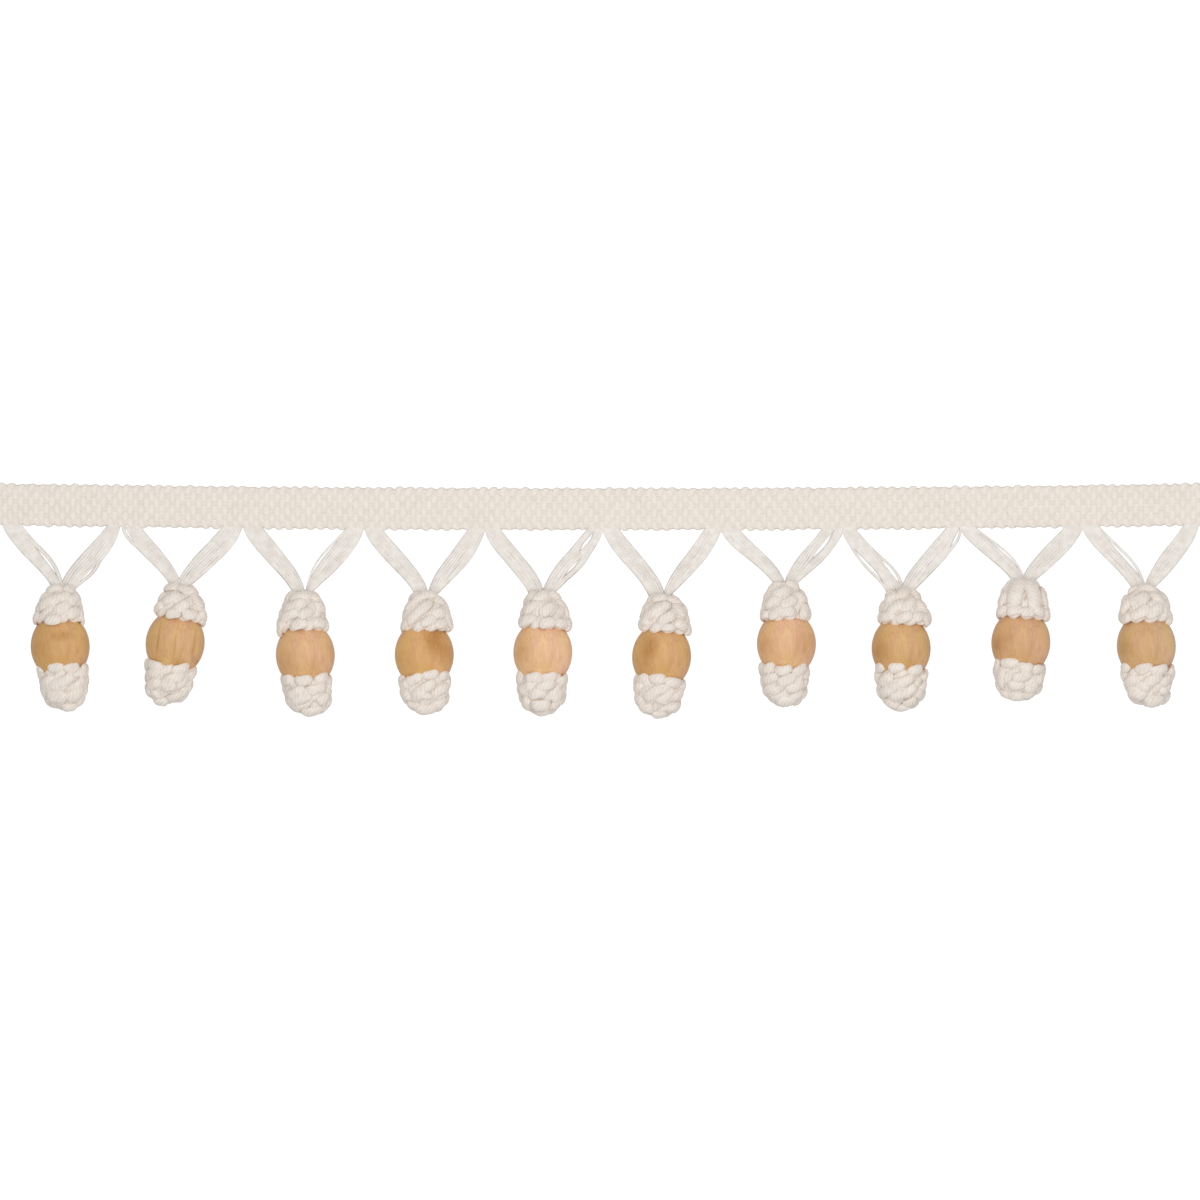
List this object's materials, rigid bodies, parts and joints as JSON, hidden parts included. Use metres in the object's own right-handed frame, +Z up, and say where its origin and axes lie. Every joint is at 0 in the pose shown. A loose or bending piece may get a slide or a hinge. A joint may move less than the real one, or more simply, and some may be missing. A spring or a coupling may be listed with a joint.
{
  "type": "wooden ball fringe",
  "caption": "Length of cream cotton trimming with a woven header band and a row of hanging drops, each a pale wooden bead held between two plaited knots.",
  "frame": {"origin": "middle of the header band's flat back, on the surface that the fringe lies on", "axes": "+X along the band, to the right seen from the front; -Y from the band towards the drops' tips; +Z up from the surface, towards the viewer"},
  "size_m": [0.37, 0.0722, 0.0175],
  "materials": {
    "webbing": "matt coarse plain-woven cotton",
    "thread": "fine loose cotton thread with a slight sheen",
    "cord": "matt soft thick cotton cord",
    "wood": "satin, pale, turned"
  },
  "bodies": {
    "root": {"header_band": "webbing", "bead_01": "wood", "plaited_cord_01": "cord", "skein_left_01": "thread", "skein_right_01": "thread", "bead_02": "wood", "plaited_cord_02": "cord", "skein_left_02": "thread", "skein_right_02": "thread", "bead_03": "wood", "plaited_cord_03": "cord", "skein_left_03": "thread", "skein_right_03": "thread", "bead_04": "wood", "plaited_cord_04": "cord", "skein_left_04": "thread", "skein_right_04": "thread", "bead_05": "wood", "plaited_cord_05": "cord", "skein_left_05": "thread", "skein_right_05": "thread", "bead_06": "wood", "plaited_cord_06": "cord", "skein_left_06": "thread", "skein_right_06": "thread", "bead_07": "wood", "plaited_cord_07": "cord", "skein_left_07": "thread", "skein_right_07": "thread", "bead_08": "wood", "plaited_cord_08": "cord", "skein_left_08": "thread", "skein_right_08": "thread", "bead_09": "wood", "plaited_cord_09": "cord", "skein_left_09": "thread", "skein_right_09": "thread", "bead_10": "wood", "plaited_cord_10": "cord", "skein_left_10": "thread", "skein_right_10": "thread"}
  },
  "joints": []
}
